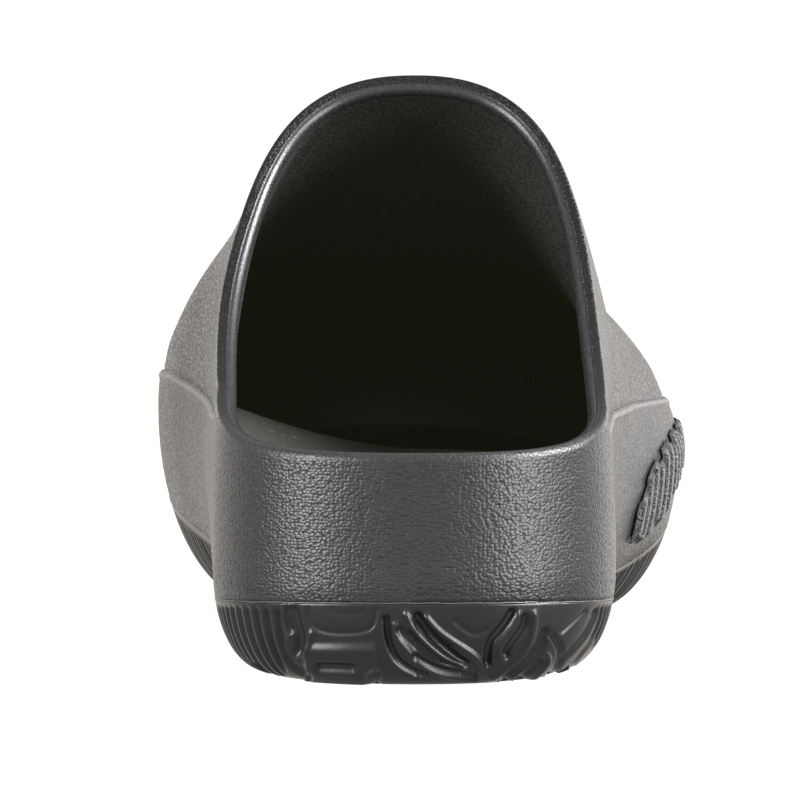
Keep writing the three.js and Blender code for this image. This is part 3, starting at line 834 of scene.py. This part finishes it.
# Strokes of the heel's relief as seen from behind, in millimetres:
# kind, depth or height, half width, and the line that each follows.
reliefStrokes = [
    ("groove", 1.0, 1.1, [(-26.1, 17.7), (-25.3, 13.7), (-24.4, 10.6), (-24.6, 8.1)]),
    ("groove", 0.8, 0.7, [(-27.8, 18.2), (-27.2, 14.4), (-26.5, 12.3)]),
    ("groove", 0.9, 0.8, [(-29.5, 17.7), (-28.8, 11.6), (-27.8, 7.4), (-25.3, 4.3), (-22.3, 2.8)]),
    ("crest", 0.45, 0.6, [(-28.4, 17.7), (-28.0, 13.1), (-26.8, 11.0)]),
    ("crest", 0.5, 0.8, [
        (-28.4, 10.6), (-27.6, 8.3), (-26.3, 6.4), (-24.8, 5.5), (-23.6, 7.2),
        (-22.1, 11.6),
    ]),
    ("groove", 0.35, 0.5, [
        (-22.9, 16.9), (-22.5, 14.4), (-21.3, 12.7), (-18.1, 11.8), (-13.9, 11.7),
        (-10.1, 12.3), (-8.8, 13.7), (-8.4, 16.9),
    ]),
    ("groove", 0.1, 0.6, [(-17.9, 17.7), (-17.5, 15.8), (-11.4, 15.8), (-10.9, 17.7)]),
    ("groove", 1.0, 1.0, [(-20.0, 4.9), (-13.5, 4.7)]),
    ("groove", 1.2, 1.7, [(-9.1, 2.6), (-9.1, 1.9)]),
    ("groove", 1.1, 0.8, [
        (-6.3, 14.8), (-6.0, 10.6), (-4.9, 7.4), (-3.4, 5.3), (-0.7, 3.5),
        (1.9, 2.6),
    ]),
    ("crest", 0.5, 0.55, [
        (-4.4, 13.7), (-4.2, 10.6), (-1.8, 7.9), (-0.7, 6.6), (1.9, 4.5),
        (5.1, 2.9), (9.3, 2.3),
    ]),
    ("groove", 1.1, 0.9, [(-0.2, 6.6), (1.9, 5.1), (5.1, 3.7), (9.8, 2.7), (12.4, 2.4)]),
    ("groove", 0.6, 0.9, [(-3.4, 12.4), (-0.7, 9.6), (1.9, 7.2), (4.0, 5.5)]),
    ("groove", 0.9, 0.6, [(-1.5, 11.6), (0.8, 9.1), (4.0, 6.6), (7.2, 5.2), (9.5, 4.5)]),
    ("crest", 0.75, 0.6, [
        (-2.1, 15.8), (-0.7, 12.7), (1.9, 9.8), (5.1, 7.2), (8.2, 5.3),
        (10.1, 4.5),
    ]),
    ("groove", 1.2, 1.0, [
        (0.4, 15.2), (2.2, 12.4), (4.5, 9.9), (7.2, 7.6), (9.5, 5.7),
        (10.3, 5.3),
    ]),
    ("crest", 0.75, 0.6, [
        (2.2, 15.1), (4.5, 12.4), (7.7, 10.1), (10.8, 8.2), (12.9, 6.6),
        (14.3, 4.5),
    ]),
    ("groove", 0.25, 0.6, [(8.4, 14.2), (9.8, 12.9), (11.9, 11.6), (13.2, 11.5), (15.1, 12.7)]),
    ("groove", 1.2, 0.9, [(20.3, 16.1), (18.5, 13.2), (16.1, 10.6), (15.3, 8.5), (15.1, 5.3)]),
    ("crest", 0.45, 0.55, [(21.6, 15.8), (20.1, 12.7), (17.9, 9.8), (17.4, 7.4), (18.5, 5.9)]),
    ("groove", 1.1, 0.8, [(23.2, 15.1), (22.9, 13.2), (21.4, 11.1), (19.5, 8.5), (19.0, 7.0)]),
    ("crest", 0.5, 0.7, [
        (25.1, 15.8), (24.8, 12.2), (23.5, 8.5), (20.8, 5.3), (18.2, 3.2),
        (16.1, 2.3),
    ]),
    ("groove", 1.2, 1.0, [(27.4, 11.9), (26.1, 8.5), (23.5, 5.8), (20.3, 3.5), (18.7, 2.1)]),
    ("crest", 0.5, 0.5, [(27.7, 7.3), (28.3, 5.9), (26.7, 3.7), (24.0, 1.5)]),
    ("groove", 1.0, 0.7, [(26.2, 5.7), (24.5, 4.0), (21.4, 1.5)]),
    ("groove", 0.9, 0.8, [(28.9, 11.2), (30.3, 9.3), (30.6, 6.5), (29.6, 4.2), (28.2, 2.6)]),
    ("groove", 0.5, 0.45, [(35.6, 16.4), (33.0, 13.9), (30.7, 11.8)]),
    ("groove", 0.8, 0.6, [(38.0, 16.4), (36.2, 12.2), (33.5, 8.9), (30.9, 6.4)]),
    ("groove", 0.8, 0.6, [(39.4, 16.0), (38.1, 11.6), (35.6, 8.0), (32.8, 4.7)]),
    ("groove", 0.7, 0.5, [(38.9, 10.5), (36.6, 7.4), (34.5, 4.9)]),
]


# Where a point is seen from behind and a little above, on the plane of the heel.
def seenFromBehind(points, distance=2200.0, height=235.0):
    share = distance / (distance + points[..., 1])
    return np.stack([points[..., 0] * share, height - (height - points[..., 2]) * share], -1)


# Cuts the corners of a line twice.
def rounded(line):
    for _ in range(2):
        cuts = [mix(line[:-1], line[1:], share) for share in (0.25, 0.75)]
        line = np.concatenate([line[:1], np.stack(cuts, 1).reshape(-1, 2), line[-1:]])
    return line


def distanceToLine(points, line):
    line = rounded(np.array(line))
    best = np.full(points.shape[:-1], np.inf)
    for start, end in zip(line[:-1], line[1:]):
        along = end - start
        share = np.clip(((points - start) @ along) / (along @ along), 0, 1)
        off = points - start - share[..., None] * along
        best = np.minimum(best, np.linalg.norm(off, axis=-1))
    return best


# The depth of the relief at the back of the heel. A raised line counts as less depth.
def reliefDepth(points):
    s = soleBody
    seen = seenFromBehind(points)
    depths = {kind: np.zeros(seen.shape[:-1]) for kind in ("groove", "crest")}
    for kind, size, half, line in reliefStrokes:
        low, high = (edge * half for edge in s["reliefEdge"])
        share = 1 - smooth(distanceToLine(seen, line), low, high)
        depths[kind] = np.maximum(depths[kind], size * share)
    block = smooth(seen[..., 0], *s["ledgeLeft"]) * (1 - smooth(seen[..., 0], *s["ledgeRight"]))
    ledge = s["ledge"] * block * (1 - smooth(seen[..., 1], *s["ledgeTop"]))
    depth = depths["groove"] - depths["crest"] - ledge
    return depth * (1 - smooth(points[..., 1], *s["reliefFades"]))


def channelMask(points):
    x, y = points[..., 0], points[..., 1]
    half, edge = soleBody["channelWidth"] / 2, soleBody["channelEdge"]
    across = np.clip(x / (form["ballWidth"] * soleBody["channelReach"]), -1, 1)
    bend = np.sin(across * np.pi / 2) ** 2
    mask = np.zeros(x.shape)
    for at, sweep in channelTable:
        middle = form["length"] * (at + sweep * bend)
        mask = np.maximum(mask, 1 - smooth(abs(y - middle), half - edge, half + edge))
    return mask


# The middle line that the bed's and the tread's rings shrink to.
def spinePoint(angle):
    last = form["length"] - form["toeReach"] * form["spineShare"]
    y = np.clip(alongShare(angle) * form["length"], form["heelReach"], last)
    return np.stack([axisAt(y / form["length"]), y, np.zeros(y.shape)], -1)


def bedMiddle(y):
    return form["bedHeight"] * readColumn(bedTable, "middle", y / form["length"])


def bedEdge(angle, sunk):
    height = form["bedHeight"] * bySide(bedTable, "edge", alongShare(angle), sideOf(angle)) - sunk
    depth = constant(angle, form["wall"] + form["edgeGap"])

    def below(level):
        return insetPoint(angle, level, depth)[..., 2] < height

    level = halving(constant(angle, -0.6), constant(angle, 0.6), below)
    return level, insetPoint(angle, level, depth)


def bedRing(angle, edge, share, sunk, below=0.0):
    point = mix(spinePoint(angle), edge, share)
    lift = edge[:, 2] + sunk - bedMiddle(edge[:, 1])
    point[:, 2] = bedMiddle(point[:, 1]) + lift * share ** form["bedDish"] - sunk - below
    return point


def buildSole():
    s = soleBody
    runs = []
    for start, end, pitch in s["pitches"]:
        end = end or outlineHalf
        runs.append(np.linspace(start, end, round((end - start) / pitch), endpoint=False))
    half = np.concatenate(runs)
    place = np.concatenate([half, [outlineHalf], 2 * outlineHalf - half[:0:-1]])
    angle = angleAt(place)
    ribs = (1 - np.cos(place / outlineHalf * np.pi * s["ribs"])) / 2
    ribs = s["ribDepth"] * ribs ** s["ribSharpness"]
    front = smooth(alongShare(angle), *s["ribsFront"])
    top = levelMoved(angle, seamLevel(angle), -form["fitGap"])
    ground = formPoint(angle, constant(angle, -1.0))
    foot, footShare = s["ribFoot"]

    def ribShare(points):
        right, left = smooth(points[:, 0], *s["ribsRight"]), smooth(-points[:, 0], *s["ribsLeft"])
        return np.maximum(np.maximum(right, left), front)

    def notched(points):
        roof = bottomHeight(points[..., 1]) + s["channelDepth"]
        lifted = points.copy()
        lifted[..., 2] += np.maximum(roof - points[..., 2], 0) * channelMask(points)
        return lifted

    rings = []
    for share in s["groundShares"]:
        point = mix(spinePoint(angle), ground, share)
        notch = foot * ribs * ribShare(ground) * smooth(share, s["groundRibsFrom"], 1.0)
        point[:, 2] = bottomHeight(point[:, 1]) + notch
        rings.append(notched(point))
    for share in np.linspace(0, 1, s["sideRows"]):
        level = mix(-1.0, top, share)
        point = formPoint(angle, level)
        fade = mix(foot, 1, smooth(share, 0, footShare)) * (1 - smooth(share, *s["ribTop"]))
        ribbed = ribs * fade * ribShare(point)
        relief = reliefDepth(point) * (1 - smooth(share, *s["reliefTop"])) * (1 - ribShare(point))
        ring = notched(point - formNormal(angle, level) * (ribbed + relief)[:, None])
        ring[:, 2] = np.maximum(ring[:, 2], 0.0)
        rings.append(ring)
    bedLevel, edge = bedEdge(angle, form["insole"])
    depth = constant(angle, form["wall"] + form["edgeGap"])
    for share in s["wallShares"]:
        rings.append(insetPoint(angle, mix(top, bedLevel, share), depth))
    for share in s["bedShares"]:
        rings.append(bedRing(angle, edge, share, form["insole"], form["edgeGap"]))
    piece = meshFrom("soleBody", np.array(rings), ringFaces(len(rings), len(angle), False))
    settle(piece, "sole", Foam("foamSole", s).finish())


buildSole()

footbed = {
    "columns": 420,
    "lowShares": (0, 0.35, 0.7, 0.9, 1),
    "topRows": 26,
    "rowSpread": 0.8,
    "edgeRound": 0.6,
    "edgeFrom": 0.97,
    "dust": 9.0,
    "speckScale": 750.0,
    "specks": (0.69, 0.74),
    "driftScale": 45.0,
    "drifts": (0.48, 0.62),
    "haze": (0.0045, 0.0045, 0.0022),
    "grainScale": 900.0,
    "grainHeight": 0.6,
    "bumpDistance": 0.00025,
    "roughness": 0.6,
    "patchiness": 0.1,
    "mottle": 0.5,
    "specular": 0.4,
    "colour": (0.036, 0.0335, 0.031),
}


def buildFootbed():
    s = footbed
    angle = angleAt(np.arange(s["columns"]) * 2 * outlineHalf / s["columns"])
    _, lowEdge = bedEdge(angle, form["insole"])
    _, highEdge = bedEdge(angle, 0.0)
    rings = [bedRing(angle, lowEdge, share, form["insole"]) for share in s["lowShares"]]
    for share in np.linspace(1, 0, s["topRows"]) ** s["rowSpread"]:
        ring = bedRing(angle, highEdge, share, 0.0)
        ring[:, 2] -= s["edgeRound"] * smooth(share, s["edgeFrom"], 1.0)
        rings.append(ring)
    piece = meshFrom("footbed", np.array(rings), ringFaces(len(rings), len(angle), False))
    foam = Foam("foamBed", s)
    foam.addDust()
    settle(piece, "insole", foam.finish(foam.haze()))


buildFootbed()

# The ribbed patch on the outer side: upright ribs with slanted ends.
ribbedPatch = {
    "height": 12.0,
    "proud": 1.4,
    "gap": 0.4,
    "ribs": 17,
    "stepped": 0.22,
    "crest": (0.4, 0.7),
    "crestEnds": 0.01,
    "rowEnds": 0.16,
    "clearance": 0.15,
    "floorShare": 0.1,
    "along": 400,
    "across": 30,
    # Painted shade between the ribs, and the extra roughness there.
    "gapPaintedShade": 0.97,
    "gapRough": 0.45,
    "grainScale": 1500.0,
    "grainHeight": 1.0,
    "bumpDistance": 0.0006,
    "roughness": 0.3,
    "patchiness": 0.2,
    "mottle": 0.5,
    "specular": 0.6,
    "colour": (0.026, 0.025, 0.0255),
}

patchTable = tableOf(
    ("at", "middle", "height"),
    [
        (0.505, 1.71, 0.58),
        (0.525, 1.98, 1.2),
        (0.55, 2.2, 1.45),
        (0.58, 2.45, 1.37),
        (0.61, 2.72, 1.1),
        (0.64, 2.89, 0.9),
        (0.69, 2.95, 0.86),
        (0.73, 3.05, 0.55),
    ],
)


def buildPatch():
    s = ribbedPatch
    along = np.linspace(0, 1, s["along"])
    at = mix(patchTable["at"][0], patchTable["at"][-1], along)
    angle = np.arccos(1 - 2 * at)
    middle = s["height"] * readColumn(patchTable, "middle", at)
    stepped = (np.floor(along * s["ribs"] + 0.5) % 3 == 1) * s["stepped"]
    half = s["height"] * readColumn(patchTable, "height", at) / 2 * (1 - stepped)
    wave = (1 + np.cos(along * 2 * np.pi * s["ribs"])) / 2
    ends = smooth(along, 0, s["crestEnds"]) * smooth(1 - along, 0, s["crestEnds"])
    crest = smooth(wave, *s["crest"]) * ends
    low = s["gap"] + s["clearance"]
    rows = np.linspace(-1, 1, s["across"])
    outer, inner, crests = [], [], []
    for row in rows:
        level = levelAt(angle, middle + half * row, -0.9, 0.5)
        end = smooth(1 - abs(row), 0.0, s["rowEnds"])
        rise = mix(low, s["proud"], mix(s["floorShare"], 1, crest) * end)
        outer.append(insetPoint(angle, level, -rise))
        crests.append(crest * end)
        inner.append(insetPoint(angle, level, constant(angle, -s["gap"])))
    loop = np.array(outer + inner[::-1]).transpose(1, 0, 2)
    crests = np.array(crests + crests[::-1]).T
    sections, sides = loop.shape[:2]
    i = np.arange(sections - 1)[:, None]
    k = np.arange(sides)[None, :]
    after = (k + 1) % sides
    quads = [i * sides + k, (i + 1) * sides + k, (i + 1) * sides + after, i * sides + after]
    faces = np.stack(np.broadcast_arrays(*quads), -1).reshape(-1, 4)
    caps = []
    for section, turned in ((0, False), (sections - 1, True)):
        for k in range(len(rows) - 1):
            cap = [section * sides + n for n in (k, k + 1, sides - 2 - k, sides - 1 - k)]
            caps.append(cap[::-1] if turned else cap)
    faces = np.concatenate([faces, np.array(caps)])
    piece = meshFrom("ribbedPatch", loop, faces, {"crest": crests})
    foam = Foam("foamPatch", s)
    foam.addGapShade()
    settle(piece, "side_patch", foam.finish())


buildPatch()

# The thin ragged line that the mould leaves along the seam.
flashLine = {
    "points": 2400,
    "below": 0.1,
    "sunk": 0.05,
    "spacing": 0.0005,
    "thickness": 0.00016,
    "raggedness": 0.0005,
    "wanderScale": 260.0,
    "widthScale": 420.0,
    "thin": 0.35,
    "swell": 2.2,
    "swellFrom": (0.42, 0.75),
    "sides": 6,
    "seed": 7,
    "grainScale": 900.0,
    "grainHeight": 0.5,
    "bumpDistance": 0.0001,
    "roughness": 0.4,
    "patchiness": 0.1,
    "mottle": 0.5,
    "specular": 0.7,
    "colour": (0.075, 0.073, 0.074),
}


def flashNodes(s, material):
    group = bpy.data.node_groups.new("moulding flash", "GeometryNodeTree")
    face = group.interface
    face.new_socket("Line", in_out="INPUT", socket_type="NodeSocketGeometry")
    for key in ("spacing", "thickness", "raggedness"):
        size = face.new_socket(key.title(), in_out="INPUT", socket_type="NodeSocketFloat")
        size.default_value = s[key]
    face.new_socket("Seed", in_out="INPUT", socket_type="NodeSocketInt").default_value = s["seed"]
    face.new_socket("Flash", in_out="OUTPUT", socket_type="NodeSocketGeometry")
    tree = Tree(group)
    given = tree.node("NodeGroupInput")
    line, spacing, thickness, ragged, seed = (Value(tree, given.outputs[i]) for i in range(5))
    curve = tree.value("GeometryNodeMeshToCurve", None, {0: line})
    cut = {"Curve": curve, "Length": spacing}
    even = tree.value("GeometryNodeResampleCurve", {"mode": "LENGTH"}, cut)

    def noise(seed, scale, detail, output):
        inputs = {"W": seed, "Scale": scale, "Detail": detail}
        return tree.value("ShaderNodeTexNoise", {"noise_dimensions": "4D"}, inputs, output)

    wander = noise(seed, s["wanderScale"], 3.0, "Color")
    centre = {"operation": "SUBTRACT"}
    centred = tree.value("ShaderNodeVectorMath", centre, {0: wander, 1: (0.5, 0.5, 0.5)})
    scaling = {"operation": "SCALE"}
    push = tree.value("ShaderNodeVectorMath", scaling, {0: centred, "Scale": ragged})
    moved = tree.value("GeometryNodeSetPosition", None, {"Geometry": even, "Offset": push})
    width = noise(seed + 3.0, s["widthScale"], 2.0, 0)
    radius = s["thin"] + width.smooth(*s["swellFrom"]) * s["swell"]
    sized = tree.value("GeometryNodeSetCurveRadius", None, {"Curve": moved, "Radius": radius})
    circle = {"Resolution": s["sides"], "Radius": thickness}
    profile = tree.value("GeometryNodeCurvePrimitiveCircle", None, circle)
    tube = {"Curve": sized, "Profile Curve": profile}
    solid = tree.value("GeometryNodeCurveToMesh", None, tube)
    real = tree.value("GeometryNodeRealizeInstances", None, {0: solid})
    done = tree.value("GeometryNodeSetMaterial", None, {"Geometry": real, "Material": material})
    tree.node("NodeGroupOutput", None, {0: done})
    return group


def buildFlash():
    s = flashLine
    angle = angleAt(np.arange(s["points"]) * 2 * outlineHalf / s["points"])
    level = levelMoved(angle, seamLevel(angle), -s["below"])
    points = insetPoint(angle, level, constant(angle, s["sunk"]))
    mesh = bpy.data.meshes.new("flashLine")
    turn = np.arange(s["points"])
    edges = np.stack([turn, (turn + 1) % s["points"]], -1)
    mesh.from_pydata(toMetres(points), edges.tolist(), [])
    piece = addObject("flashLine", mesh)
    grower = piece.modifiers.new("flash", "NODES")
    grower.node_group = flashNodes(s, Foam("foamFlash", s).finish())
    ready = piece.evaluated_get(bpy.context.evaluated_depsgraph_get())
    piece.data = bpy.data.meshes.new_from_object(ready)
    piece.modifiers.clear()
    settle(piece)


buildFlash()

# Each softbox: name, azimuth and elevation in degrees, distance, width, height and power.
lighting = {
    "target": (0.0, -0.13, 0.05),
    "boxes": [
        ("softboxLeft", -60, 24, 1.3, 0.5, 0.8, 26.5),
        ("softboxRight", 60, 14, 1.3, 0.5, 0.9, 20.5),
        ("softboxSide", 96, 40, 1.3, 0.5, 0.6, 42.0),
        ("softboxBack", 148, 4, 1.4, 0.5, 0.8, 1.3),
        ("frontFill", 0, 6, 2.0, 1.0, 1.0, 3.0),
    ],
    "world": 0.5,
    "card": (1.15, 1.09, 1.02, 1.0),
    "backdropHalf": 24.0,
    "backdropTop": 8.0,
    "backdropFoot": -9.0,
    "backdropAway": 14.0,
    "floorReach": 14.0,
    "floorLevel": -0.0006,
}


def addLights():
    target = Vector(lighting["target"])
    for name, azimuth, elevation, distance, width, tall, power in lighting["boxes"]:
        light = bpy.data.lights.new(name, "AREA")
        light.shape = "RECTANGLE"
        light.size, light.size_y, light.energy = width, tall, power
        a, e = math.radians(azimuth), math.radians(elevation)
        away = Vector((math.sin(a) * math.cos(e), -math.cos(a) * math.cos(e), math.sin(e)))
        lamp = addObject(name, light)
        lamp.location = target + away * distance
        lamp.rotation_euler = away.to_track_quat("Z", "Y").to_euler()
    world = bpy.data.worlds.new("studio")
    bpy.context.scene.world = world
    world.use_nodes = True
    sky = world.node_tree.nodes["Background"].inputs
    sky["Color"].default_value = (1.0, 1.0, 1.0, 1.0)
    sky["Strength"].default_value = lighting["world"]
    print(len(lighting["boxes"]), "lights")


# A pale card that glows evenly, as in a photo cut out on white.
def addCard(name, corners):
    mesh = bpy.data.meshes.new(name)
    mesh.from_pydata(corners, [], [(0, 1, 2, 3)])
    material = bpy.data.materials.new(name)
    material.use_nodes = True
    material.node_tree.nodes.clear()
    tree = Tree(material.node_tree)
    glow = tree.value("ShaderNodeEmission", None, {"Color": lighting["card"], "Strength": 1.0})
    tree.node("ShaderNodeOutputMaterial", None, {"Surface": glow})
    mesh.materials.append(material)
    card = addObject(name, mesh)
    return card


def addSet():
    half, away = lighting["backdropHalf"], lighting["backdropAway"]
    foot, top = lighting["backdropFoot"], lighting["backdropTop"]
    heights = ((-half, foot), (half, foot), (half, top), (-half, top))
    addCard("backdrop", [(x, away, z) for x, z in heights])
    reach, level = lighting["floorReach"], lighting["floorLevel"]
    around = ((-1, -1), (1, -1), (1, 1), (-1, 1))
    floor = addCard("paleFloor", [(x * reach, y * reach, level) for x, y in around])
    floor.visible_diffuse = False
    floor.visible_glossy = False
    print("floor and backdrop")


addLights()
addSet()

# Places in metres, measured from the back of the heel.
cameraView = {
    "distance": 2.2,
    "height": 0.235,
    "aimHeight": 0.0611,
    "lens": 471.7,
    "sensor": 36.0,
    "shift": -0.02,
    "clipEnd": 20.0,
}


def addCamera():
    camera = bpy.data.cameras.new("camera")
    camera.lens = cameraView["lens"]
    camera.sensor_width = cameraView["sensor"]
    camera.shift_x = cameraView["shift"]
    camera.clip_end = cameraView["clipEnd"]
    middle, heel = offset[0] / 1000, -form["length"] / 2000
    viewer = addObject("camera", camera)
    viewer.location = (middle, heel - cameraView["distance"], cameraView["height"])
    aim = Vector((middle, heel, cameraView["aimHeight"])) - viewer.location
    viewer.rotation_euler = aim.to_track_quat("-Z", "Y").to_euler()
    bpy.context.scene.camera = viewer
    print("camera")


addCamera()

scene = bpy.context.scene
scene.view_settings.view_transform = "Standard"
scene.view_settings.look = "None"
scene.view_settings.exposure = 0.0
scene.render.film_transparent = False
